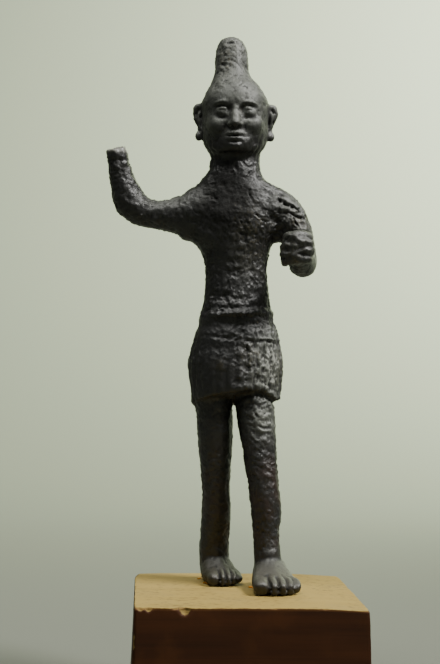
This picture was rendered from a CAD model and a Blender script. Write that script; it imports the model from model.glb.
"""A small bronze statuette of a striding god, on the wooden block that it stands on.

The sections follow the object from the ground up: the block, the bronze, the bits of wax at its soles,
then the paper behind it, the lights and the camera. Metres, +Z up. The figure faces -Y, so its own right
is at -X, and the camera sees it at the left.
"""

import math

import bmesh
import bpy
import numpy as np
from mathutils import Matrix, Vector, noise


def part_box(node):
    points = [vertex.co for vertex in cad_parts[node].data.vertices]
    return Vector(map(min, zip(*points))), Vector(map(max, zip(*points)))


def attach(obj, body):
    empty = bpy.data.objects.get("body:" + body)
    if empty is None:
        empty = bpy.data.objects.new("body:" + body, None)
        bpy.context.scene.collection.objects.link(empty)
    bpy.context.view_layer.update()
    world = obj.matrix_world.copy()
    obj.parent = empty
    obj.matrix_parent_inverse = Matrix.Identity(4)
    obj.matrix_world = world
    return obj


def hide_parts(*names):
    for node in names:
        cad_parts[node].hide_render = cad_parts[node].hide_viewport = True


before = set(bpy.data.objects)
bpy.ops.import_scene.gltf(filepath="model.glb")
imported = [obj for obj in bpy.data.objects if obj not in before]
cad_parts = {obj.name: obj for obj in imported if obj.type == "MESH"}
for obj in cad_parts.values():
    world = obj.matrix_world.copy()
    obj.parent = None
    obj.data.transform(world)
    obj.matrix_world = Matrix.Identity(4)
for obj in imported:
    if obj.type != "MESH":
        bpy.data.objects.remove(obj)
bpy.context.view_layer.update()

# The wooden block.
# A sawn offcut of pale hardwood, a little wider at its foot. Its sides are stained dark brown, and its top
# was left bare and has yellowed. The edges are rubbed, and splinters have broken out of the front one.

# How much wider it is at its foot on each side, and how far its faces waver
BLOCK_SPLAY = 0.0010
BLOCK_WAVER = 0.00005

# The cuts of its grid, and how much closer they lie towards the edges and towards the splintered end
BLOCK_CUTS = 112
EDGE_CROWDING = 0.4
SPLINTER_CROWDING = 0.25

# How round its edges are, how much that varies, and where its top starts to sag and how far it does
EDGE_RADIUS = 0.00030
EDGE_RADIUS_SPREAD = 0.00025
SAG_START = 0.0145
SAG_DEPTH = 0.0006
WORN_CORNERS = (
    # Place, how far the wear reaches from it, and how much rounder it is there
    ((-0.0297, 0.0299, 0.0300), (0.0060, 0.0060, 0.0060), 0.0016),
    ((-0.0302, -0.0304, 0.0150), (0.0040, 0.0040, 0.0200), 0.0008),
    ((0.0297, 0.0299, 0.0300), (0.0030, 0.0030, 0.0040), 0.0006),
    ((0.0300, -0.0302, 0.0300), (0.0025, 0.0025, 0.0030), 0.0005),
)
SPLINTERS = (
    # Distance along the front top edge from its -X end, half width, height down the front, and depth
    (0.0016, 0.0012, 0.0011, 0.0005),
    (0.0036, 0.0011, 0.0014, 0.0006),
    (0.0127, 0.0015, 0.0025, 0.0009),
    (0.0102, 0.0009, 0.0007, 0.0004),
    (0.0352, 0.0012, 0.0004, 0.0003),
    (0.0480, 0.0010, 0.0005, 0.0003),
)

# The bare top and the stained sides, each between two shades, with the grain and the blotches on them,
# and the rim where the stain ends
BARE_WOOD = ((0.290, 0.203, 0.056), (0.312, 0.223, 0.064))
BARE_GRAIN = (0.200, 0.125, 0.036)
GREYED_WOOD = (0.240, 0.180, 0.075)
YELLOWED_WOOD = (0.330, 0.190, 0.048)
STAINED_WOOD = ((0.0250, 0.0078, 0.0016), (0.0390, 0.0122, 0.0026))
STAINED_GRAIN = (0.0125, 0.0038, 0.0008)
THIN_STAIN = (0.0560, 0.0185, 0.0036)
STAINED_RIM = (0.120, 0.052, 0.013)


def placed(name, shape):
    """A new object at the origin that shows this bmesh."""
    mesh = bpy.data.meshes.new(name)
    bmesh.ops.recalc_face_normals(shape, faces=shape.faces)
    shape.to_mesh(mesh)
    shape.free()
    obj = bpy.data.objects.new(name, mesh)
    bpy.context.scene.collection.objects.link(obj)
    return obj


def coordinates(mesh):
    """The mesh's vertices as an array."""
    values = np.empty(3 * len(mesh.vertices), np.float32)
    mesh.vertices.foreach_get("co", values)
    return values.reshape(-1, 3).astype(float)


def outward(mesh):
    """The mesh's vertex normals as an array."""
    values = np.empty(3 * len(mesh.vertices), np.float32)
    mesh.vertex_normals.foreach_get("vector", values)
    return values.reshape(-1, 3).astype(float)


def set_coordinates(mesh, points):
    """Moves the mesh's vertices to these points."""
    mesh.vertices.foreach_set("co", points.astype(np.float32).ravel())
    mesh.update()


def paint(mesh, name, values):
    """Keeps one number for each vertex, which a material reads by that name."""
    layer = mesh.attributes.new(name, "FLOAT", "POINT")
    layer.data.foreach_set("value", values.astype(np.float32))


def cloudy(points, size, octaves=2, roughness=1.0):
    """Soft fractal noise, about -1 to 1, with lumps of about that size."""
    return np.array([noise.fractal(p, roughness, 2.0, octaves) for p in (points / size).tolist()])


def ramp(values, low, high):
    """0 below low, 1 above high, and a smooth rise between them."""
    share = np.clip((values - low) / (high - low), 0.0, 1.0)
    return share * share * (3.0 - 2.0 * share)


def bell(points, centre, reach):
    """1 at centre, about a third at its reach from there, and nearly 0 at twice that."""
    return np.exp(-(((points - np.array(centre)) / np.array(reach)) ** 2).sum(axis=1))


def spots(points, places):
    """The strongest bell at each point, of places that are a middle, a reach and a strength."""
    strongest = np.zeros(len(points))
    for centre, reach, strength in places:
        strongest = np.maximum(strongest, strength * bell(points, centre, reach))
    return strongest


class Wire:
    """A shader value that adds its Math nodes when it is used in a Python expression."""

    def __init__(self, finish, socket):
        self.finish = finish
        self.socket = socket

    def math(self, operation, *others):
        """What that Math node makes of this value and the others."""
        return self.finish.node("ShaderNodeMath", {"operation": operation}, dict(enumerate((self, *others))))

    def __add__(self, other):
        return self.math("ADD", other)

    __radd__ = __add__

    def __mul__(self, other):
        return self.math("MULTIPLY", other)

    __rmul__ = __mul__

    def __sub__(self, other):
        return self.math("SUBTRACT", other)

    def __rsub__(self, other):
        return (self * -1.0) + other

    def rise(self, low, high):
        """0 below low, 1 above high, and a smooth rise between them."""
        settings = {"interpolation_type": "SMOOTHSTEP"}
        return self.finish.node("ShaderNodeMapRange", settings, {0: self, 1: low, 2: high})


class Finish:
    """A Principled material and the nodes that feed it."""

    def __init__(self, name, **values):
        self.material = bpy.data.materials.new(name)
        self.material.use_nodes = True
        self.tree = self.material.node_tree
        self.shader = self.tree.nodes["Principled BSDF"]
        for socket, value in values.items():
            self.shader.inputs[socket.replace("_", " ")].default_value = value

    def node(self, kind, settings, sockets, output=0):
        """Adds a node, sets it, then fills its sockets with numbers, colours or wires."""
        made = self.tree.nodes.new(kind)
        for name, value in settings.items():
            setattr(made, name, value)
        for key, value in sockets.items():
            self.fill(made.inputs[key], value)
        return Wire(self, made.outputs[output])

    def fill(self, socket, value):
        """Links a wire to a socket, or sets a number or a colour on it."""
        if isinstance(value, Wire):
            self.tree.links.new(value.socket, socket)
        elif isinstance(value, tuple) and socket.type == "RGBA":
            socket.default_value = (*value, 1.0)
        else:
            socket.default_value = value

    def feed(self, **wires):
        """Links wires to the shader's own sockets."""
        for socket, wire in wires.items():
            self.fill(self.shader.inputs[socket.replace("_", " ")], wire)

    def dull(self, share, sockets):
        """Lays a second Principled shader over the first by that share."""
        first = Wire(self, self.shader.outputs["BSDF"])
        second = self.node("ShaderNodeBsdfPrincipled", {}, sockets, "BSDF")
        both = self.node("ShaderNodeMixShader", {}, {0: share, 1: first, 2: second})
        self.tree.links.new(both.socket, self.tree.nodes["Material Output"].inputs["Surface"])

    def place(self, stretch=(1.0, 1.0, 1.0)):
        """Object coordinates in millimetres, divided by stretch along each axis."""
        scale = tuple(1000.0 / s for s in stretch)
        where = self.node("ShaderNodeTexCoord", {}, {}, "Object")
        return self.node("ShaderNodeMapping", {}, {"Vector": where, "Scale": scale})

    def height(self):
        """The height of the point above the ground, in millimetres."""
        return self.node("ShaderNodeSeparateXYZ", {}, {0: self.place()}, 2)

    def clouds(self, size, detail=3.0, stretch=(1.0, 1.0, 1.0), roughness=0.5):
        """Noise from 0 to 1 with lumps of about that many millimetres."""
        where = self.place(stretch)
        sockets = {"Vector": where, "Scale": 1.0 / size, "Detail": detail, "Roughness": roughness}
        return self.node("ShaderNodeTexNoise", {}, sockets)

    def painted(self, name):
        """The number that paint() kept under this name."""
        return self.node("ShaderNodeAttribute", {"attribute_name": name}, {}, "Fac")

    def mix(self, share, first, second):
        """The first colour where share is 0 and the second where it is 1."""
        settings = {"data_type": "RGBA", "clamp_factor": True}
        return self.node("ShaderNodeMix", settings, {0: share, 6: first, 7: second}, 2)

    def bump(self, height, distance, strength=1.0, under=None):
        """A surface raised by height times distance, in millimetres, over an earlier bump."""
        sockets = {"Height": height, "Distance": distance / 1000.0, "Strength": strength}
        if under is not None:
            sockets["Normal"] = under
        return self.node("ShaderNodeBump", {}, sockets, "Normal")


block_low, block_high = (Vector(corner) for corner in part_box("wooden_block"))
block_half = (block_high - block_low) / 2
shape = bmesh.new()
bmesh.ops.create_cube(shape, size=2.0)
bmesh.ops.subdivide_edges(shape, edges=shape.edges[:], cuts=BLOCK_CUTS, use_grid_fill=True)
block = placed("worn_block", shape)
unit_points = coordinates(block.data)

# The grid is drawn together where the wear is, and then takes the block's size and taper
unit_points *= 1.0 + EDGE_CROWDING - EDGE_CROWDING * unit_points**2
unit_points[:, 0] -= SPLINTER_CROWDING * (1.0 - unit_points[:, 0] ** 2)
splay = BLOCK_SPLAY * (1.0 + unit_points[:, 2]) / 2
half = np.stack([block_half.x - splay, block_half.y - splay, np.full(len(splay), block_half.z)], axis=1)
middle = np.array((block_low + block_high) / 2)
points = unit_points * half + middle

# The edges are rounded, each by its own uneven radius: what lies within that radius of two faces is drawn
# in onto a quarter circle. Then the faces waver a little.
worn = spots(points, WORN_CORNERS)
radius = EDGE_RADIUS + EDGE_RADIUS_SPREAD * np.clip(cloudy(points, 0.005, 3), -0.8, 1.5) + worn
inset = half - np.abs(points - middle)
reach = np.clip(radius[:, None] - inset, 0.0, None)
length = np.maximum(np.linalg.norm(reach, axis=1), 1e-9)
at_edge = (reach > 0).sum(axis=1) > 1
drawn_in = reach * (1.0 - np.where(at_edge, radius / length, 1.0))[:, None]
points -= np.sign(points - middle) * drawn_in
set_coordinates(block.data, points)
normals = outward(block.data)
points -= normals * (BLOCK_WAVER * ramp(cloudy(points, 0.011), -0.8, 0.8))[:, None]

# The top sags at one end, and splinters are missing from its front edge
below_top = (block_high.z - points[:, 2]) * 1000.0
rubbed = np.exp(-np.sort(inset, axis=1)[:, 1] / (0.0006 + worn))
rubbed = rubbed * (0.3 + 0.7 * ramp(cloudy(points, 0.006, 3), -0.35, 0.55))
points[:, 2] -= np.exp(-below_top / 2.0) * SAG_DEPTH * ramp(points[:, 0], SAG_START, block_half.x)
front = block_low.y + BLOCK_SPLAY
broken = np.zeros(len(points))
for start, half_width, height, depth in SPLINTERS:
    centre = (-block_half.x + BLOCK_SPLAY + start, front, block_high.z)
    taper = 1.5 * half_width * (1.0 - 0.8 * ramp(block_high.z - points[:, 2], 0.0, height))
    dent = ramp(1.0 - np.abs(points[:, 0] - centre[0]) / taper, 0.0, 0.7)
    dent = dent * ramp(points[:, 2], block_high.z - height, block_high.z - 0.5 * height)
    dent = dent * ramp(front + 0.0014 - points[:, 1], 0.0, 0.0008)
    points[:, 1] += dent * depth * (0.8 + 0.4 * ramp(cloudy(points, 0.0008), -0.5, 0.5))
    broken = np.maximum(broken, dent)
points = np.clip(points, np.array(block_low), np.array(block_high))
set_coordinates(block.data, points)
paint(block.data, "below_top", below_top)
paint(block.data, "rubbed", rubbed)
paint(block.data, "broken", broken)

wood = Finish("stained_hardwood", Specular_IOR_Level=0.16)
grain = wood.clouds(0.75, 4.0, (60.0, 1.0, 1.0), 0.62)
pores = wood.clouds(0.30, 2.0, (9.0, 1.0, 1.0), 0.6)
bands = wood.clouds(3.2, 2.0, (16.0, 1.0, 1.0), 0.55)
bare = wood.mix(bands.rise(0.30, 0.72), *BARE_WOOD)
bare = wood.mix(grain.rise(0.42, 0.75) * 0.04, bare, BARE_GRAIN)
bare = wood.mix(wood.clouds(14.0, 3.0).rise(0.50, 0.75) * 0.30, bare, GREYED_WOOD)
bare = wood.mix(wood.clouds(5.0, 3.0).rise(0.60, 0.80) * 0.30, bare, YELLOWED_WOOD)
stain = wood.mix(bands.rise(0.30, 0.72), *STAINED_WOOD)
stain = wood.mix(grain.rise(0.5, 0.8) * 0.5, stain, STAINED_GRAIN)
stain = wood.mix(wood.clouds(9.0, 4.0).rise(0.52, 0.75) * 0.5, stain, THIN_STAIN)
wander = (wood.clouds(1.6, 4.0) - 0.5) * 0.4
below_top = wood.painted("below_top") + wander
bare_share = below_top.rise(0.26, 0.02)
worn_off = (wood.painted("rubbed") + (wood.clouds(1.1, 4.0) - 0.5) * 0.9).rise(0.62, 1.00)
splintered = (wood.painted("broken") + (wood.clouds(0.8, 3.0) - 0.5) * 0.4).rise(0.20, 0.60)
showing = bare_share.math("MAXIMUM", worn_off * 0.45).math("MAXIMUM", splintered * 0.62)
reddened = below_top.rise(0.05, 0.30) * below_top.rise(0.9, 0.4) * 0.5
wood.feed(
    Base_Color=wood.mix(reddened, wood.mix(showing, stain, bare), STAINED_RIM),
    Roughness=0.56 + 0.16 * showing + 0.12 * grain,
    Normal=wood.bump(grain * 0.4 + pores * 0.10, 0.01, 0.10),
)
block.data.materials.clear()
block.data.materials.append(wood.material)
block.data.shade_smooth()
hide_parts("wooden_block")
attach(block, "root")

# The bronze figure.
# One solid casting, modelled by hand in wax, so every part of it is one skin. The metal is nearly black,
# eaten into grains, pits and scabs on the body and kilt, and smoother on the crown, face, fist and feet.

# The figure's own frame: where it stands on the block, how far it is turned, and its height in units,
# which are about a millimetre
STAND = Vector((-0.0029, 0.0074, 0.0))
STAND_TURN = math.radians(-3.2)
UNITS_TALL = 152.285

# The grid that its skin is fused on, in units, and the number of triangles that are kept
SKIN_GRID = 0.26
SKIN_TRIANGLES = 194000

# Face: its middle and front, the heights of the eyes, nose, mouth and chin, and how far each eye is from
# the middle
FACE_MIDDLE = -0.8
FACE_FRONT = -8.3
EYE_HEIGHT = 129.7
EYE_SPREAD = 3.5
NOSE_HEIGHT = 125.6
MOUTH_HEIGHT = 123.1
CHIN_HEIGHT = 120.2

# Kilt: its middle, its width over its depth, the number of its pleats, the heights of its belt, band and
# hem, how many degrees the belt's roll reaches round from the front, and how the hem slopes along X and Y
KILT_MIDDLE = (0.2, 1.4)
KILT_FLATNESS = 1.36
KILT_PLEATS = 30
BELT_HEIGHT = 74.3
BELT_REACH = 70
BAND_HEIGHT = 68.7
HEM_HEIGHT = 51.4
HEM_SLOPE_SIDE = 0.14
HEM_SLOPE_FRONT = -0.24

# Fist: its middle, the height of its second finger, and how far below each other the fingers are and slant
FIST = (15.4, -20.6, 91.4)
FINGER_HEIGHT = 93.7
FINGER_PITCH = 2.5
FINGER_SLANT = -0.17

# Feet, the rear one first: the middle of the heel, the turn towards +X in degrees, the length and the
# width. Then each toe's share of the width, and how much the rear foot's outer side is drawn in.
FEET = (
    ((-5.1, 11.5), 9.5, 16.8, 11.3),
    ((9.6, 0.6), 8.0, 21.3, 12.8),
)
TOE_SHARES = (0.31, 0.19, 0.19, 0.17, 0.14)
REAR_FOOT_NARROWING = 2.0

# Raised wrist: the middle of its break, and the stumps that stand on it: how far each is from that middle
# along X and Y, how far it leans, and how much lower it ends
WRIST = (-33.9, -1.0, 120.1)
STUMPS = ((0.3, -0.9, -0.2, 0.0), (2.0, -0.6, 0.2, 0.0), (-1.3, 0.6, 0.1, 0.3))

# The skin: nearly black where it is bare, grey where it is dusty, palest where the dust lies thick, with
# olive crusts, red oxide on the legs, brown feet, grime in the hollows, ochre soil, and a pale break
BLACK_SKIN = ((0.0075, 0.0073, 0.0066), (0.0130, 0.0127, 0.0114))
GREY_SKIN = ((0.0610, 0.0640, 0.0540), (0.0920, 0.0960, 0.0810))
PALE_DUST = (0.205, 0.210, 0.182)
OLIVE_CRUST = (0.078, 0.062, 0.024)
RED_OXIDE = (0.0210, 0.0085, 0.0035)
BROWN_FEET = (0.0520, 0.0400, 0.0210)
GRIME = (0.0060, 0.0055, 0.0044)
OCHRE_SOIL = (0.110, 0.084, 0.032)
BARE_BREAK = (0.170, 0.168, 0.145)

figure_low, figure_high = (Vector(corner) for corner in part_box("bronze_figure"))
unit = (figure_high.z - figure_low.z) / UNITS_TALL
from_units = (
    Matrix.Translation((STAND.x, STAND.y, figure_low.z))
    @ Matrix.Rotation(STAND_TURN, 4, "Z")
    @ Matrix.Scale(unit, 4)
)


def strand(shape, stations, sides=10):
    """A closed round cord of wax through stations of x, y, z and radius, in units."""
    rows = [np.array(station, float) for station in stations]
    centres = []
    for first, a, b, last in zip([rows[0]] + rows, rows, rows[1:], rows[2:] + [rows[-1]]):
        for t in (0.0, 0.25, 0.5, 0.75):
            curve = 2 * a + (b - first) * t + (2 * first - 5 * a + 4 * b - last) * t**2
            centres.append(0.5 * (curve + (3 * a - first - 3 * b + last) * t**3))
    centres.append(rows[-1])
    rings = []
    for i, row in enumerate(centres):
        before = Vector(centres[max(i - 1, 0)][:3])
        after = Vector(centres[min(i + 1, len(centres) - 1)][:3])
        place = (after - before).to_track_quat("Z", "Y").to_matrix().to_4x4()
        place.translation = Vector(row[:3])
        ring = bmesh.ops.create_circle(shape, segments=sides, radius=float(row[3]), matrix=place)
        rings.append(ring["verts"])
    for ring, following in zip(rings, rings[1:]):
        loops = (set(ring), set(following))
        near = dict.fromkeys(edge for vert in ring + following for edge in vert.link_edges)
        mates = [edge for edge in near if any(loop.issuperset(edge.verts) for loop in loops)]
        bmesh.ops.bridge_loops(shape, edges=mates)
    for ring in (rings[0], rings[-1]):
        bmesh.ops.contextual_create(shape, geom=ring)


def pellet(shape, centre, half, turn=0.0):
    """An oval pellet of wax, turned about the vertical, in units and degrees."""
    place = Matrix.Translation(centre) @ Matrix.Rotation(math.radians(turn), 4, "Z")
    place = place @ Matrix.Diagonal((*half, 1.0))
    bmesh.ops.create_icosphere(shape, subdivisions=3, radius=1.0, matrix=place)


def gathered(obj, *modifiers):
    """A new mesh of obj with these modifiers applied: each is a type and its settings."""
    for kind, settings in modifiers:
        modifier = obj.modifiers.new(kind.title(), kind)
        for name, value in settings.items():
            setattr(modifier, name, value)
    mesh = bpy.data.meshes.new_from_object(obj.evaluated_get(bpy.context.evaluated_depsgraph_get()))
    obj.modifiers.clear()
    return mesh


# The nose, the chin, the brows, eyes and lids, the jaw, the folds of the ears and the lips, laid on in wax
details = bmesh.new()
nose = (
    (FACE_MIDDLE, FACE_FRONT + 1.0, EYE_HEIGHT + 2.0, 0.70),
    (FACE_MIDDLE, FACE_FRONT + 0.2, EYE_HEIGHT - 0.2, 0.75),
    (FACE_MIDDLE, FACE_FRONT - 0.7, NOSE_HEIGHT + 1.9, 0.90),
    (FACE_MIDDLE, FACE_FRONT - 1.2, NOSE_HEIGHT + 0.9, 1.05),
)
strand(details, nose)
pellet(details, (FACE_MIDDLE, FACE_FRONT - 1.0, NOSE_HEIGHT + 0.75), (1.15, 1.15, 0.80))
pellet(details, (FACE_MIDDLE, FACE_FRONT + 1.5, CHIN_HEIGHT + 0.7), (2.4, 1.8, 1.35))
for side in (-1, 1):
    eye = FACE_MIDDLE + side * EYE_SPREAD
    inner = eye - side * 2.1
    outer = eye + side * 2.2
    brow = (
        (FACE_MIDDLE + side * 1.1, FACE_FRONT + 1.1, EYE_HEIGHT + 2.0, 0.45),
        (eye - side * 0.7, FACE_FRONT + 0.60, EYE_HEIGHT + 2.75, 0.60),
        (eye + side * 1.3, FACE_FRONT + 1.35, EYE_HEIGHT + 2.55, 0.52),
        (eye + side * 2.9, FACE_FRONT + 3.0, EYE_HEIGHT + 1.4, 0.35),
    )
    strand(details, brow)
    upper_lid = (
        (inner, FACE_FRONT + 1.45, EYE_HEIGHT - 0.15, 0.22),
        (eye - side * 0.9, FACE_FRONT + 0.75, EYE_HEIGHT + 0.85, 0.34),
        (eye + side * 0.6, FACE_FRONT + 0.95, EYE_HEIGHT + 0.90, 0.34),
        (outer, FACE_FRONT + 2.2, EYE_HEIGHT - 0.1, 0.22),
    )
    strand(details, upper_lid)
    lower_lid = (
        (inner, FACE_FRONT + 1.45, EYE_HEIGHT - 0.15, 0.18),
        (eye - side * 0.8, FACE_FRONT + 0.95, EYE_HEIGHT - 0.85, 0.26),
        (eye + side * 0.7, FACE_FRONT + 1.20, EYE_HEIGHT - 0.85, 0.26),
        (outer, FACE_FRONT + 2.2, EYE_HEIGHT - 0.1, 0.18),
    )
    strand(details, lower_lid)
    pellet(details, (eye, FACE_FRONT + 1.85, EYE_HEIGHT), (1.6, 1.15, 0.90), side * 16)
    pellet(details, (FACE_MIDDLE + side * 1.35, FACE_FRONT + 0.1, NOSE_HEIGHT + 0.6), (0.72, 0.95, 0.65))
    jaw = (
        (FACE_MIDDLE + side * 7.4, -1.0, CHIN_HEIGHT + 3.2, 1.0),
        (FACE_MIDDLE + side * 5.6, -3.2, CHIN_HEIGHT + 1.2, 1.4),
        (FACE_MIDDLE + side * 3.4, -5.0, CHIN_HEIGHT + 0.6, 1.7),
        (FACE_MIDDLE + side * 1.2, -6.0, CHIN_HEIGHT + 0.5, 1.8),
    )
    strand(details, jaw)
    inner_ear = (
        (FACE_MIDDLE + side * 9.4, 0.9, EYE_HEIGHT + 1.6, 0.30),
        (FACE_MIDDLE + side * 10.2, 0.7, EYE_HEIGHT + 0.4, 0.42),
        (FACE_MIDDLE + side * 10.0, 0.7, EYE_HEIGHT - 2.0, 0.40),
        (FACE_MIDDLE + side * 9.6, 0.7, EYE_HEIGHT - 3.6, 0.30),
    )
    strand(details, inner_ear)
upper_lip = (
    (FACE_MIDDLE - 2.5, FACE_FRONT + 1.1, MOUTH_HEIGHT + 0.05, 0.22),
    (FACE_MIDDLE - 1.0, FACE_FRONT - 0.05, MOUTH_HEIGHT + 0.65, 0.50),
    (FACE_MIDDLE, FACE_FRONT - 0.10, MOUTH_HEIGHT + 0.50, 0.48),
    (FACE_MIDDLE + 1.0, FACE_FRONT - 0.05, MOUTH_HEIGHT + 0.65, 0.50),
    (FACE_MIDDLE + 2.5, FACE_FRONT + 1.1, MOUTH_HEIGHT + 0.05, 0.22),
)
strand(details, upper_lip)
lower_lip = (
    (FACE_MIDDLE - 2.2, FACE_FRONT + 1.1, MOUTH_HEIGHT - 0.1, 0.20),
    (FACE_MIDDLE - 1.0, FACE_FRONT + 0.10, MOUTH_HEIGHT - 0.70, 0.48),
    (FACE_MIDDLE, FACE_FRONT, MOUTH_HEIGHT - 0.78, 0.56),
    (FACE_MIDDLE + 1.0, FACE_FRONT + 0.10, MOUTH_HEIGHT - 0.70, 0.48),
    (FACE_MIDDLE + 2.2, FACE_FRONT + 1.1, MOUTH_HEIGHT - 0.1, 0.20),
)
strand(details, lower_lip)

# The roll of the belt, and the stumps on the broken wrist
belt = []
for degrees in range(-BELT_REACH, BELT_REACH + 1, 10):
    angle = math.radians(degrees)
    swell = 0.16 * noise.noise((degrees * 0.11, 3.0, 0.0))
    level = BELT_HEIGHT + 0.3 + 0.5 * math.sin(angle) + swell
    thick = 0.78 - 0.30 * abs(degrees) / BELT_REACH + swell
    belt.append((0.3 + 9.5 * math.sin(angle), 1.05 - 7.45 * math.cos(angle), level, thick))
strand(details, belt)
for across, back, lean, drop in STUMPS:
    foot = (WRIST[0] + across, WRIST[1] + back, WRIST[2] - 1.6)
    tip = (foot[0] + lean, foot[1], WRIST[2] + 0.15 - drop)
    strand(details, ((*foot, 1.0), (*tip, 0.55)))

# The solid's skin is made smooth, and it and the wax details are fused into one
shape = bmesh.new()
shape.from_mesh(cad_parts["bronze_figure"].data)
bmesh.ops.remove_doubles(shape, verts=shape.verts, dist=1e-6)
bmesh.ops.transform(shape, matrix=from_units.inverted(), verts=shape.verts)
casting = placed("cast_figure", shape)
casting.data = gathered(casting, ("SUBSURF", {"levels": 1}))
shape = bmesh.new()
shape.from_mesh(casting.data)
bpy.data.objects.remove(casting)
detail_mesh = bpy.data.meshes.new("wax_details")
bmesh.ops.recalc_face_normals(details, faces=details.faces)
details.to_mesh(detail_mesh)
details.free()
shape.from_mesh(detail_mesh)
figure = placed("cast_figure", shape)
figure.data = gathered(
    figure,
    ("REMESH", {"mode": "VOXEL", "voxel_size": SKIN_GRID}),
    ("SMOOTH", {"iterations": 2}),
)
points = coordinates(figure.data)
x, y, z = points.T


def craters(points, size, share):
    """Round pits on a scatter of cells: 0 on the skin, and 1 at the bottom of a pit."""
    depth = np.zeros(len(points))
    for i, place in enumerate((points / size).tolist()):
        distances, cells = noise.voronoi(place)
        chance = noise.cell(cells[0] * 7.3)
        if chance < share:
            radius = 0.24 + 0.24 * chance / share
            depth[i] = max(0.0, 1.0 - (distances[0] / radius) ** 2)
    return depth


# How deeply the bronze is eaten in each place, from 0 on the smoothest skin to 1 on the roughest
body = ramp(z, 44.0, 52.0) * (1.0 - ramp(z, 112.0, 120.0))
head = ramp(z, 113.0, 120.0)
fist = bell(points, (FIST[0] + 0.2, FIST[1] + 2.6, FIST[2]), (6.0, 8.0, 6.0))
feet = 1.0 - ramp(z, 5.0, 11.0)
shoulder = bell(points, (14.5, -1.0, 105.5), (5.5, 8.0, 3.0))
elbow = bell(points, (19.0, -3.0, 88.0), (5.0, 8.0, 4.0))
right_chest = body * ramp(x, 3.0, -6.0) * ramp(z, 78.0, 84.0)
eaten = (0.55 + 0.45 * body) * (1 - 0.45 * ramp(x, 13.0, 20.0)) * (1 - 0.6 * elbow)
eaten = eaten * (1 - 0.52 * head) * (1 - 0.82 * feet) * (1 - 0.85 * fist) * (1 - 0.55 * shoulder)
kilt_side = ramp(z, 50.0, 52.0) * ramp(z, 75.0, 73.0) * (np.abs(x) < 16)
calm_kilt = kilt_side * ramp(x, 3.0, -3.0)
streaky_kilt = kilt_side * ramp(x, 2.5, 6.0) * ramp(z, 72.0, 69.0)
upper_chest = bell(points, (-1.0, -8.0, 106.0), (9.0, 9.0, 9.0))
eaten = eaten * (1 - 0.70 * calm_kilt) * (1 - 0.50 * streaky_kilt) * (1 - 0.72 * upper_chest)
eaten = eaten * (1 - 0.40 * right_chest) * (0.55 + 0.45 * ramp(cloudy(points, 12.0, 2), -0.45, 0.45))

# How far the skin rises at each point: broad waves, scabs and cracked crusts, fine grains, a rougher skin
# on the legs and the raised arm, streaks on the kilt, dents in the crown, and round pits
legs = ramp(z, 8.0, 14.0) * (1.0 - ramp(z, 48.0, 54.0))
height = 0.13 + (0.17 * cloudy(points, 7.0, 2) + 0.11 * cloudy(points + 40.0, 3.2, 2)) * (0.4 + 0.6 * eaten)
height += 0.10 * legs * cloudy(points + 25.0, 4.0, 2)
patches = 0.35 + 0.65 * ramp(cloudy(points + 50.0, 3.0, 2), -0.30, 0.35)
height += eaten * patches * 0.36 * (0.14 - np.abs(cloudy(points + 20.0, 1.7, 4, 0.6)))
height += (0.2 + 0.8 * eaten) * (0.4 + 0.6 * patches) * 0.26 * cloudy(points + 60.0, 0.75, 2, 0.5)
height += eaten * 0.18 * (ramp(cloudy(points + 90.0, 1.8, 3, 0.7), 0.00, 0.14) - 0.5)
height += legs * 0.10 * cloudy(points + 130.0, 1.1, 3, 0.6)
height += streaky_kilt * 0.30 * cloudy(points * np.array((1.0, 1.0, 0.26)) + 150.0, 1.0, 3, 0.6)
crown = ramp(z, 133.0, 137.0)
height -= crown * 0.13 * ramp(cloudy(points + 170.0, 2.4, 3, 0.6), 0.02, 0.20)
raised_arm = ramp(x, -13.0, -17.0) * (z > 90)
height += raised_arm * 0.22 * cloudy(points + 190.0, 2.2, 3, 0.6)
height -= eaten * 0.46 * craters(points, 2.4, 0.16)
height -= (0.25 + 0.75 * eaten) * 0.22 * craters(points + 17.0, 1.3, 0.16)

# Fine locks of hair behind the ears and down the sides of the neck
nape = ramp(np.abs(x - FACE_MIDDLE), 4.0, 6.5) * ramp(z, 112.5, 116.0) * (1.0 - ramp(z, 121.0, 124.5))
nape = nape * (np.abs(x) < 12)
lock = np.abs(np.cos(11.0 * np.arctan2(x - FACE_MIDDLE, 1.5 - y) + 0.8 * cloudy(points, 6.0)))
height += nape * 0.30 * (0.5 - lock**4)

# The pleats: valleys that run down the kilt below its band, uneven as the hand that cut them, and all
# but lost at the front of its right half. Then the belt, the band and the hem.
around = np.arctan2((x - KILT_MIDDLE[0]) / KILT_FLATNESS, y - KILT_MIDDLE[1])
hem = HEM_HEIGHT + HEM_SLOPE_SIDE * x + HEM_SLOPE_FRONT * y
hem -= 2.4 * np.exp(-(((x - 12.2) / 3.6) ** 2) - ((y + 1.0) / 7.0) ** 2)
on_kilt = ramp(z, hem - 0.2, hem + 0.5) * (1.0 - ramp(z, BAND_HEIGHT - 1.4, BAND_HEIGHT - 0.4))
on_kilt *= (np.abs(x) < 16) & (y > -12.5)
waver = 0.06 * cloudy(points * np.array((1.0, 1.0, 0.30)), 5.0)
fold = np.abs(np.cos(0.5 * KILT_PLEATS * (around + waver)))
half_fold = np.abs(np.cos(KILT_PLEATS * (around + waver) + 0.5 * math.pi))
clear_cut = 0.25 + 0.75 * ramp(cloudy(points * np.array((1.0, 1.0, 0.4)) + 11.0, 4.0), -0.25, 0.30)
lost = ramp(x, -11.0, -8.5) * ramp(x, 4.5, 1.5) * ramp(y, 0.0, -3.0)
clear_cut = np.maximum(clear_cut * (1 - 0.92 * lost), ramp(x, 5.0, 7.0))
height += on_kilt * clear_cut * (0.12 - 0.36 * fold**6 - 0.24 * half_fold**6)
height += on_kilt * 0.10 * lost
near_kilt = ((np.abs(x) < 15) & (y > -10.5)).astype(float)
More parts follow.
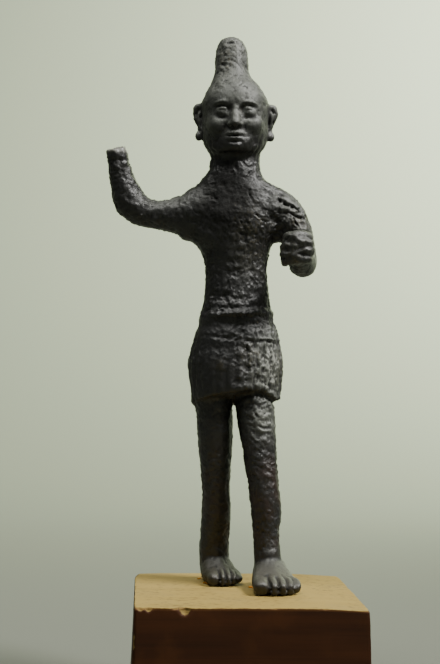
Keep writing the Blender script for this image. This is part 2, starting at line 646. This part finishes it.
uneven = 0.5 * cloudy(points + 5.0, 4.0)
ragged = 0.35 + 0.65 * ramp(cloudy(points + 70.0, 3.5, 3), -0.25, 0.30)
left_half = ramp(x, -3.0, 3.0)
for level, width, lift in (
    # Along the belt a ridge, a groove over it and a wide one under it, and along the band's lower edge a
    # ridge, a groove and a fainter ridge: level, width, and how far the skin rises
    (BELT_HEIGHT + 0.4 + 0.06 * x, 0.50, 0.30 * (ragged - 0.3)),
    (BELT_HEIGHT + 2.1 + 0.06 * x, 0.80, -0.40 * ramp(np.abs(x), 11.0, 8.0)),
    (BELT_HEIGHT - 2.2 + 0.06 * x, 1.40, -0.42),
    (BAND_HEIGHT - 0.10 * x, 0.40, 0.36 * ragged * left_half),
    (BAND_HEIGHT - 1.0 - 0.10 * x, 0.40, -0.20 * ragged),
    (BAND_HEIGHT - 2.6, 0.35, 0.25 * (ragged - 0.35) * left_half),
):
    height += near_kilt * lift * np.exp(-(((z - level - uneven) / width) ** 2))
lip = np.exp(-(((z - hem - 0.8) / 0.9) ** 2)) * (y < 1)
height += near_kilt * lip * (0.50 * left_half - 0.10)
under_hem = np.exp(-(((z - hem + 0.9) / 0.7) ** 2)) * (y < 1) * ramp(x, 0.5, 3.0)
height -= 0.45 * under_hem


def along_foot(points, heel, turn):
    """How far each point is ahead of a heel, and to its left, on a foot turned by that many degrees."""
    turn = math.radians(turn)
    ahead = (points[:, 0] - heel[0]) * math.sin(turn) - (points[:, 1] - heel[1]) * math.cos(turn)
    aside = (points[:, 0] - heel[0]) * math.cos(turn) + (points[:, 1] - heel[1]) * math.sin(turn)
    return ahead, aside


# The fingers, one below another over the fist, and the gaps between the toes
along = (z - FINGER_HEIGHT - FINGER_SLANT * (x - FIST[0])) / FINGER_PITCH
finger = np.abs(np.cos(math.pi * along))
on_fingers = bell(points, (FIST[0] + 0.4, FIST[1] - 3.6, FIST[2] - 0.4), (4.4, 3.4, 5.2))
height += ramp(on_fingers, 0.10, 0.75) * ramp(x, 11.0, 13.5) * 0.30 * (finger - 0.72)
for heel, turn, length, width in FEET:
    ahead, aside = along_foot(points, heel, turn)
    aside = aside / (0.86 + 0.14 * ramp(ahead, 0.6 * length, 0.8 * length))
    on_toes = (z < 7) * (np.abs(aside) < 0.75 * width) * ramp(ahead, 0.64 * length, 0.80 * length)
    deeper = 0.60 + 0.70 * ramp(ahead, 0.80 * length, 0.90 * length)
    edge = -0.5 * width
    for share in TOE_SHARES[:-1]:
        edge += share * width
        gap = np.exp(-(((aside - edge) / 0.32) ** 2))
        height -= on_toes * deeper * gap * ramp(z, 0.2, 0.9)
    height -= on_toes * 0.25 * ramp(z, 3.0, 1.0) * ramp(ahead, 0.82 * length, 0.9 * length)

# Tendons that fan out over the top of each foot
for heel, turn, length, width in FEET:
    ahead, aside = along_foot(points, heel, turn)
    off_line = x - heel[0] - 0.16 * ahead
    tendon = np.abs(np.cos(9.0 * np.arctan2(off_line, ahead + 3.0))) ** 3
    on_top = ramp(ahead, 0.30 * length, 0.45 * length) * ramp(ahead, 0.72 * length, 0.62 * length) * (z < 11)
    height += 0.22 * (tendon - 0.4) * on_top * (np.abs(off_line) < 0.6 * width)

# Slanting creases over the front thigh and round its knee
crease = np.sin(2.6 * (z + 0.5 * x) + 6.0 * cloudy(points, 5.0))
crease = crease * ramp(cloudy(points + 15.0, 2.2, 2), -0.35, 0.35)
height += 0.24 * crease * bell(points, (7.5, -7.0, 42.0), (4.5, 6.0, 7.5))
height += 0.14 * crease * bell(points, (9.5, -7.0, 30.0), (3.5, 5.0, 3.5))

# Lumps, holes and cuts that stand out one by one: middle, reach, and how far the skin rises
MARKS = (
    # Lumps on the front of the kilt
    ((-3.7, -8.4, 60.4), (1.1, 2.0, 1.2), 0.60),
    ((-2.4, -8.6, 62.6), (0.9, 2.0, 0.7), 0.35),
    ((-5.0, -8.4, 63.6), (0.8, 2.0, 0.6), 0.25),
    ((1.4, -8.0, 63.4), (1.6, 2.5, 0.8), 0.30),
    ((1.6, -8.0, 57.4), (0.9, 2.0, 0.9), 0.35),
    # Holes and a lump in the left shoulder and upper arm
    ((12.2, -3.0, 107.7), (0.80, 2.5, 0.50), -1.10),
    ((11.0, -3.0, 105.6), (0.9, 2.5, 0.6), -0.6),
    ((19.3, -4.0, 96.9), (0.8, 2.5, 0.45), -0.70),
    ((18.4, -4.0, 97.9), (1.0, 2.0, 0.6), 0.35),
    # A hole and a lump on the raised forearm
    ((-32.6, -3.6, 116.6), (0.9, 1.5, 0.8), -0.5),
    ((-31.4, -3.2, 109.2), (0.9, 1.5, 1.4), 0.45),
    # Dents in the crown
    ((-4.3, -2.0, 146.6), (0.8, 2.5, 2.2), -0.28),
    ((-1.9, -1.6, 150.0), (1.3, 2.5, 0.30), -0.50),
    ((-4.3, -2.2, 143.7), (0.7, 2.5, 0.45), -0.40),
    ((-5.0, -2.2, 141.9), (0.5, 2.5, 0.35), -0.30),
    # Knobs at the front foot's outer ankle and on both insteps
    ((13.9, -4.6, 7.0), (0.7, 2.0, 0.8), 0.55),
    ((-4.3, 4.5, 8.2), (1.6, 3.0, 1.3), 0.40),
    ((10.4, -6.5, 9.3), (2.0, 3.0, 1.2), 0.40),
    # Dents in the fist, and the front knee
    ((13.4, -24.5, 86.9), (1.6, 3.0, 0.8), -0.30),
    ((17.2, -24.3, 89.8), (1.45, 2.5, 0.60), -0.50),
    ((9.6, -6.8, 30.4), (1.6, 2.0, 1.2), 0.30),
)
for centre, reach, lift in MARKS:
    height += lift * bell(points, centre, reach)

# Cracks across the left shoulder, upper arm and chest: start and end, seen from the front, width and depth
CRACKS = (
    ((11.6, 106.1), (17.3, 103.2), 0.34, 1.05),
    ((13.2, 102.6), (18.6, 100.9), 0.30, 0.95),
    ((14.9, 101.6), (16.6, 99.4), 0.30, 0.60),
    ((3.2, 108.3), (4.2, 104.9), 0.30, 0.45),
    ((5.1, 101.9), (7.2, 100.6), 0.26, 0.55),
    ((-9.4, 107.6), (-5.6, 105.9), 0.36, 0.40),
)


def crack(points, start, end):
    """How far each point lies, seen from the front, from a wavering line between two places."""
    across = points[:, (0, 2)] + 0.45 * np.stack((cloudy(points, 1.6), cloudy(points + 30.0, 1.6)), axis=1)
    run = np.array(end) - np.array(start)
    share = np.clip((across - start) @ run / (run @ run), 0, 1)
    return np.linalg.norm(across - start - share[:, None] * run, axis=1)


cut = np.zeros(len(points))
for start, end, width, depth in CRACKS:
    cut = np.maximum(cut, depth * np.exp(-((crack(points, start, end) / width) ** 2)))
cut *= ramp(y, 3.0, 0.0) * (y > -12.0) * (0.35 + 0.65 * ramp(cloudy(points + 210.0, 1.4, 2), -0.25, 0.15))
height -= cut
points = points + outward(figure.data) * height[:, None]

# Hollows pressed into the face: the nostrils from below, and the others from the front, which are the eye's
# inner corner, the fold over it, the bag under it, the side of the nose, the mouth and the dip under it
for side in (-1, 1):
    eye = FACE_MIDDLE + side * EYE_SPREAD
    nostril = (FACE_MIDDLE + side * 0.70, FACE_FRONT - 0.3, NOSE_HEIGHT)
    points[:, 2] += 0.6 * bell(points, nostril, (0.45, 0.8, 0.5))
    for centre, reach, depth in (
        ((eye - side * 1.9, FACE_FRONT + 1.2, EYE_HEIGHT + 0.9), (0.8, 1.5, 0.9), 0.70),
        ((eye + side * 0.6, FACE_FRONT + 1.0, EYE_HEIGHT + 1.7), (1.8, 1.5, 0.45), 0.35),
        ((eye, FACE_FRONT + 1.2, EYE_HEIGHT - 1.6), (1.9, 1.5, 0.5), 0.30),
        ((FACE_MIDDLE + side * 2.6, FACE_FRONT + 1.0, NOSE_HEIGHT), (0.6, 1.5, 1.3), 0.35),
    ):
        points[:, 1] += depth * bell(points, centre, reach)
points[:, 1] += 0.55 * bell(points, (FACE_MIDDLE, FACE_FRONT, MOUTH_HEIGHT - 0.05), (2.1, 1.6, 0.26))
points[:, 1] += 0.40 * bell(points, (FACE_MIDDLE, FACE_FRONT, MOUTH_HEIGHT - 1.75), (1.8, 1.6, 0.5))

# The hem's left corner droops, and the fist falls away at both ends of its knuckles
points[:, 2] -= 1.0 * bell(points, (12.6, -3.0, 53.8), (3.0, 6.0, 2.6))
for beside, drop in ((-4.2, 1.2), (4.0, 1.0)):
    points[:, 2] -= drop * bell(points, (FIST[0] + beside, FIST[1] - 1.5, FIST[2] + 4.2), (2.0, 3.5, 2.0))

# The rear foot narrows toward its toes on the outer side
heel, turn, length, width = FEET[0]
ahead, aside = along_foot(points, heel, turn)
narrowed = ramp(ahead, 0.30 * length, 0.75 * length) * ramp(points[:, 2], 10.5, 6.5)
narrowed = narrowed * (np.abs(aside) < 0.62 * width) * np.clip(0.5 - aside / width, 0, 1)
points[:, 0] += REAR_FOOT_NARROWING * narrowed

# The break at the wrist is torn, and the soles are flat
torn = ramp(z, WRIST[2] - 0.9, WRIST[2] - 0.3) * (x < -25)
points[:, 2] += torn * 0.30 * cloudy(points, 1.3, 3) * bell(points, WRIST, (3.0, 3.0, 9.0))
points[:, 2] = np.where(z < 0.35, np.maximum(points[:, 2], 0.0) * ramp(z, 0.05, 0.35), points[:, 2])
points[:, 2] = np.clip(points[:, 2], 0.0, UNITS_TALL)
set_coordinates(figure.data, points)
figure.data = gathered(figure, ("DECIMATE", {"ratio": SKIN_TRIANGLES / (2 * len(figure.data.polygons))}))


def smoothed(points, edges, passes):
    """The points after that many rounds of moving each to the middle of its neighbours."""
    count = np.bincount(edges.ravel(), minlength=len(points))[:, None]
    for _ in range(passes):
        total = np.zeros_like(points)
        for axis in range(3):
            total[:, axis] = np.bincount(edges[:, 0], points[edges[:, 1], axis], len(points))
            total[:, axis] += np.bincount(edges[:, 1], points[edges[:, 0], axis], len(points))
        points = total / count
    return points


# Each point is compared with its neighbours near and far, which shows the small hollows and the large. The
# cracks, the fronts of the toes, the deeper holes and the underside of the hem count as small hollows too.
points = coordinates(figure.data)
x, y, z = points.T
edges = np.empty(2 * len(figure.data.edges), np.int32)
figure.data.edges.foreach_get("vertices", edges)
edges = edges.reshape(-1, 2)
normals = outward(figure.data)
near = ((smoothed(points, edges, 4) - points) * normals).sum(axis=1)
wide = ((smoothed(points, edges, 30) - points) * normals).sum(axis=1)
hollow = np.clip(0.5 + near / 0.16, 0, 1)
for start, end, width, depth in CRACKS:
    in_cut = np.exp(-((crack(points, start, end) / (1.1 * width)) ** 2))
    in_cut *= (y < 2) & (y > -12)
    hollow = np.maximum(hollow, min(1.0, depth) * in_cut)
for heel, turn, length, width in FEET:
    ahead, aside = along_foot(points, heel, turn)
    toe_fronts = ramp(ahead, 0.85 * length, 0.92 * length) * ramp(z, 2.6, 1.2)
    hollow = np.maximum(hollow, 0.9 * toe_fronts * (np.abs(x - heel[0] - 2.5) < 0.75 * width))
for centre, reach, lift in MARKS:
    if lift <= -0.45:
        hollow = np.maximum(hollow, bell(points, centre, np.array(reach) * 1.1))
hem_shade = ramp(z, 44.0, 47.0) * ramp(z, 58.0, 55.0) * ramp(-normals[:, 2], 0.62, 0.9)
paint(figure.data, "hollow", np.maximum(hollow, hem_shade))
paint(figure.data, "sheltered", np.clip(0.5 + wide / 0.9, 0, 1))
paint(figure.data, "torn_face", ramp(z, WRIST[2] - 1.6, WRIST[2] - 0.6) * (x < -25))

# Dust lies on the head, the feet and what faces up. It is thicker on the left shoulder and upper arm, the
# fist, the raised arm, the kilt's left side, the front thigh, the ribs and the two insteps: middle, reach
# and strength.
DUST_PLACES = (
    ((15.5, -1.0, 104.5), (6.5, 8.0, 5.0), 0.85),
    ((20.0, -2.0, 96.0), (5.0, 8.0, 8.0), 0.75),
    ((15.6, -20.0, 91.4), (6.0, 8.0, 6.0), 0.75),
    ((-18.5, 0.0, 107.0), (7.5, 6.0, 3.5), 0.95),
    ((10.0, -6.0, 59.0), (4.8, 9.0, 10.0), 2.60),
    ((8.5, -6.0, 46.0), (4.0, 6.0, 5.0), 1.70),
    ((3.0, -6.0, 90.0), (4.0, 4.0, 10.0), 0.30),
    ((-4.2, 5.5, 8.6), (2.2, 4.0, 1.8), 1.10),
    ((10.4, -7.5, 9.6), (2.6, 4.0, 2.6), 1.00),
)
dusty = np.maximum(ramp(z, 120.0, 127.0), 0.52 * (1 - ramp(z, 5.0, 10.5)))
dusty = np.maximum(dusty, spots(points, DUST_PLACES))
upward = ramp(normals[:, 2], -0.35, 0.55)
upward = np.where(z < 11.0, 1.3 * ramp(normals[:, 2], 0.10, 0.75) - 0.3, upward)
paint(figure.data, "dusty", np.clip(dusty * (0.25 + 0.75 * upward), 0, 1.6))

# Olive crusts, in the same way, on the chest, the left arm, the fist, the kilt, the legs and the crown
OLIVE_PLACES = (
    ((4.5, -7.0, 96.0), (4.0, 5.0, 7.0), 1.0),
    ((17.5, -3.0, 100.5), (3.0, 4.0, 3.5), 1.0),
    ((14.0, -21.0, 88.5), (5.0, 6.0, 5.0), 0.9),
    ((5.0, -7.0, 62.0), (3.0, 4.0, 4.0), 0.8),
    ((13.0, -1.0, 60.0), (2.0, 6.0, 7.0), 0.7),
    ((-3.7, -8.4, 60.4), (1.6, 2.5, 1.7), 1.0),
    ((-2.0, 3.0, 20.0), (6.0, 8.0, 12.0), 0.5),
    ((-3.2, -3.0, 145.0), (2.2, 3.0, 4.5), 0.9),
)
paint(figure.data, "olive", spots(points, OLIVE_PLACES))

# The neck and the upper chest are matt
paint(figure.data, "matt", bell(points, (-2.5, -7.0, 107.0), (9.5, 12.0, 10.0)))

# The figure is put in its place on the block, inside the solid's own box
figure.data.transform(from_units)
set_coordinates(figure.data, np.clip(coordinates(figure.data), np.array(figure_low), np.array(figure_high)))

bronze = Finish("dark_bronze", Specular_IOR_Level=0.60)
hollow = bronze.painted("hollow")
sheltered = bronze.painted("sheltered")
dusty = bronze.painted("dusty")
above_soles = (bronze.height() - figure_low.z * 1000.0) * (0.001 / unit)
blotches = bronze.clouds(7.0, 4.0)
specks = bronze.clouds(0.9, 4.0, roughness=0.65)
crust = bronze.clouds(0.50, 3.0, roughness=0.6)
fine = bronze.clouds(0.25, 3.0, roughness=0.7)
black_skin = bronze.mix(blotches.rise(0.35, 0.68), *BLACK_SKIN)
grey_skin = bronze.mix(blotches.rise(0.35, 0.68), *GREY_SKIN)
greyness = dusty + (specks - 0.5) * 0.5 * dusty + (0.5 - hollow) * 0.3 * dusty
skin = bronze.mix(greyness, black_skin, grey_skin)
skin = bronze.mix((dusty + (specks - 0.5) * 0.6).rise(1.0, 1.6), skin, PALE_DUST)
olive = bronze.painted("olive") * (specks + (blotches - 0.5) * 0.5).rise(0.42, 0.66)
skin = bronze.mix(olive * 0.50, skin, OLIVE_CRUST)
red_legs = above_soles.rise(44.0, 28.0) * above_soles.rise(7.0, 15.0)
red_legs = red_legs * bronze.clouds(5.0, 4.0).rise(0.36, 0.66)
skin = bronze.mix(red_legs * 0.7, skin, RED_OXIDE)
browned_feet = above_soles.rise(9.0, 4.0) * (dusty.rise(0.02, 0.30) * 0.30 + 0.05)
skin = bronze.mix(browned_feet, skin, BROWN_FEET)
grime = (hollow + (fine - 0.5) * 0.4).rise(0.58, 0.92)
skin = bronze.mix(grime * 0.7, skin, GRIME)
ochre_places = bronze.clouds(6.0, 3.0).rise(0.54, 0.70) * (specks + sheltered * 0.4).rise(0.78, 0.96)
skin = bronze.mix(ochre_places * 0.45, skin, OCHRE_SOIL)
skin = bronze.mix(bronze.painted("torn_face") * 0.8, skin, BARE_BREAK)
gritty = bronze.bump(fine, 0.05, 0.6, bronze.bump(crust, 0.11, 0.8, bronze.bump(specks, 0.14, 0.6)))
bronze.feed(
    Base_Color=skin,
    Roughness=0.44 + 0.16 * grime + 0.14 * (blotches - 0.5) + 0.12 * dusty,
    Normal=gritty,
)
bronze.dull(
    bronze.painted("matt").rise(0.15, 0.80) * 0.90,
    {"Base Color": skin, "Roughness": 0.60, "Specular IOR Level": 0.12, "Normal": gritty},
)
figure.data.materials.clear()
figure.data.materials.append(bronze.material)
figure.data.shade_smooth()
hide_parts("bronze_figure")
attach(figure, "root")

# The wax at the soles.
# Orange crumbs of the wax that holds the figure to its block. They were squeezed out beside its feet when
# it was pressed down, and they stick to the wood.

CRUMBS = (
    # Place on the block's top, half width, half depth and half height, in millimetres
    (-9.5, 9.9, 0.75, 0.50, 0.46),
    (-10.3, 10.9, 0.45, 0.40, 0.30),
    (-11.4, 18.6, 0.60, 0.40, 0.25),
    (2.0, 3.2, 0.60, 0.40, 0.30),
    (2.8, 2.4, 0.35, 0.30, 0.20),
    (13.9, -3.2, 0.70, 0.35, 0.20),
)
ORANGE_WAX = ((0.80, 0.36, 0.030), (0.50, 0.21, 0.022))

shape = bmesh.new()
for x, y, wide, deep, tall in CRUMBS:
    centre = (x, y, block_high.z * 1000.0 + 0.5 * tall)
    place = Matrix.Translation(centre) @ Matrix.Diagonal((wide, deep, tall, 1.0))
    bmesh.ops.create_icosphere(shape, subdivisions=3, radius=1.0, matrix=place)
wax = placed("wax_crumbs", shape)
points = coordinates(wax.data)
points += outward(wax.data) * (0.16 * cloudy(points, 0.45, 3))[:, None]
points[:, 2] = np.maximum(points[:, 2], block_high.z * 1000.0)
set_coordinates(wax.data, points * 0.001)
waxen = Finish("orange_wax", Specular_IOR_Level=0.4, Subsurface_Weight=0.15, Subsurface_Scale=0.001)
waxen.feed(
    Base_Color=waxen.mix(waxen.clouds(0.5, 3.0).rise(0.35, 0.7), *ORANGE_WAX),
    Roughness=0.45 + 0.2 * waxen.clouds(0.3),
    Normal=waxen.bump(waxen.clouds(0.2, 3.0), 0.06, 0.6),
)
wax.data.materials.append(waxen.material)
wax.data.shade_smooth()
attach(wax, "root")

# The paper behind it, which isn't part of the object.
# A pale, slightly green sheet that runs level under the block and then curves up to stand behind it.

SWEEP_WIDTH = 4.0
SWEEP_FRONT = -1.20
SWEEP_BEND = 0.70
SWEEP_BACK = 1.15
SWEEP_TOP = 2.4
PAPER_COLOUR = (0.161, 0.170, 0.139, 1.0)


def drawn_out(sheet, edge, way):
    """Extrudes an edge of the sheet by a vector, and gives the new edge and its ends."""
    made = bmesh.ops.extrude_edge_only(sheet, edges=[edge])["geom"]
    ends = [g for g in made if isinstance(g, bmesh.types.BMVert)]
    bmesh.ops.translate(sheet, verts=ends, vec=way)
    edges = [g for g in made if isinstance(g, bmesh.types.BMEdge)]
    return [g for g in edges if all(v in ends for v in g.verts)] + ends


sheet = bmesh.new()
corners = [sheet.verts.new((x, SWEEP_FRONT, 0.0)) for x in (-SWEEP_WIDTH / 2, SWEEP_WIDTH / 2)]
level_end = drawn_out(sheet, sheet.edges.new(corners), (0.0, SWEEP_BACK - SWEEP_BEND - SWEEP_FRONT, 0.0))
bend_end = bmesh.ops.spin(
    sheet,
    geom=level_end,
    cent=(0.0, SWEEP_BACK - SWEEP_BEND, SWEEP_BEND),
    axis=(1.0, 0.0, 0.0),
    angle=math.radians(90),
    steps=24,
)["geom_last"]
(bend_edge,) = [g for g in bend_end if isinstance(g, bmesh.types.BMEdge)]
drawn_out(sheet, bend_edge, (0.0, 0.0, SWEEP_TOP - SWEEP_BEND))
sweep = placed("paper_sweep", sheet)
sweep.data.shade_smooth()
paper = Finish("pale_paper", Roughness=0.95, Specular_IOR_Level=0.1, Base_Color=PAPER_COLOUR)
sweep.data.materials.append(paper.material)

# The light.
# As the camera sees them: one soft window high on the right and a little in front, a weaker skylight
# overhead, and one that washes only the paper, from its upper right. All are gridded, and the room is dim.

LIT_PLACE = (0.0, 0.0, 0.11)
LIT_PAPER = (0.52, 1.08, 0.56)
ROOM_COLOUR = (0.86, 0.90, 0.84, 1.0)
ROOM_STRENGTH = 0.15


def softbox(name, place, aim, size, fan, power, colour):
    """A square area light at place that faces aim and fans out by that many degrees."""
    light = bpy.data.lights.new(name, "AREA")
    light.size = size
    light.spread = math.radians(fan)
    light.energy = power
    light.color = colour
    lamp = bpy.data.objects.new(name, light)
    lamp.location = place
    lamp.rotation_euler = (Vector(aim) - Vector(place)).to_track_quat("-Z", "Y").to_euler()
    lamp.visible_camera = False
    bpy.context.scene.collection.objects.link(lamp)


softbox("window", (0.505, -0.260, 0.742), LIT_PLACE, 0.26, 60, 1.68, (1.0, 0.99, 0.96))
softbox("skylight", (-0.20, -0.22, 0.92), LIT_PLACE, 0.34, 60, 0.70, (1.0, 1.0, 0.96))
softbox("wash", (0.94, 0.48, 1.10), LIT_PAPER, 0.50, 112, 81.0, (0.93, 1.0, 0.82))
room = bpy.data.worlds.new("room")
room.use_nodes = True
background = room.node_tree.nodes["Background"]
background.inputs["Color"].default_value = ROOM_COLOUR
background.inputs["Strength"].default_value = ROOM_STRENGTH
bpy.context.scene.world = room

# The camera.
# A long lens at the photograph's place, in front of the figure and level with its kilt. It looks slightly
# up and to the right, and is held a little askew.

CAMERA_PLACE = Vector((-0.02925, -0.3885, 0.091))
CAMERA_TURN = math.radians(3.2)
CAMERA_RISE = math.radians(1.29)
CAMERA_ROLL = math.radians(0.8)
CAMERA_LENS = 77.53
CAMERA_SENSOR = 36.0

camera = bpy.data.cameras.new("camera")
camera.lens = CAMERA_LENS
camera.sensor_width = CAMERA_SENSOR
camera.clip_start = 0.01
viewpoint = bpy.data.objects.new("camera", camera)
ahead = Vector((math.sin(CAMERA_TURN), math.cos(CAMERA_TURN), math.tan(CAMERA_RISE)))
look = ahead.to_track_quat("-Z", "Y").to_matrix().to_4x4() @ Matrix.Rotation(CAMERA_ROLL, 4, "Z")
viewpoint.matrix_world = Matrix.Translation(CAMERA_PLACE) @ look
bpy.context.scene.collection.objects.link(viewpoint)
bpy.context.scene.camera = viewpoint
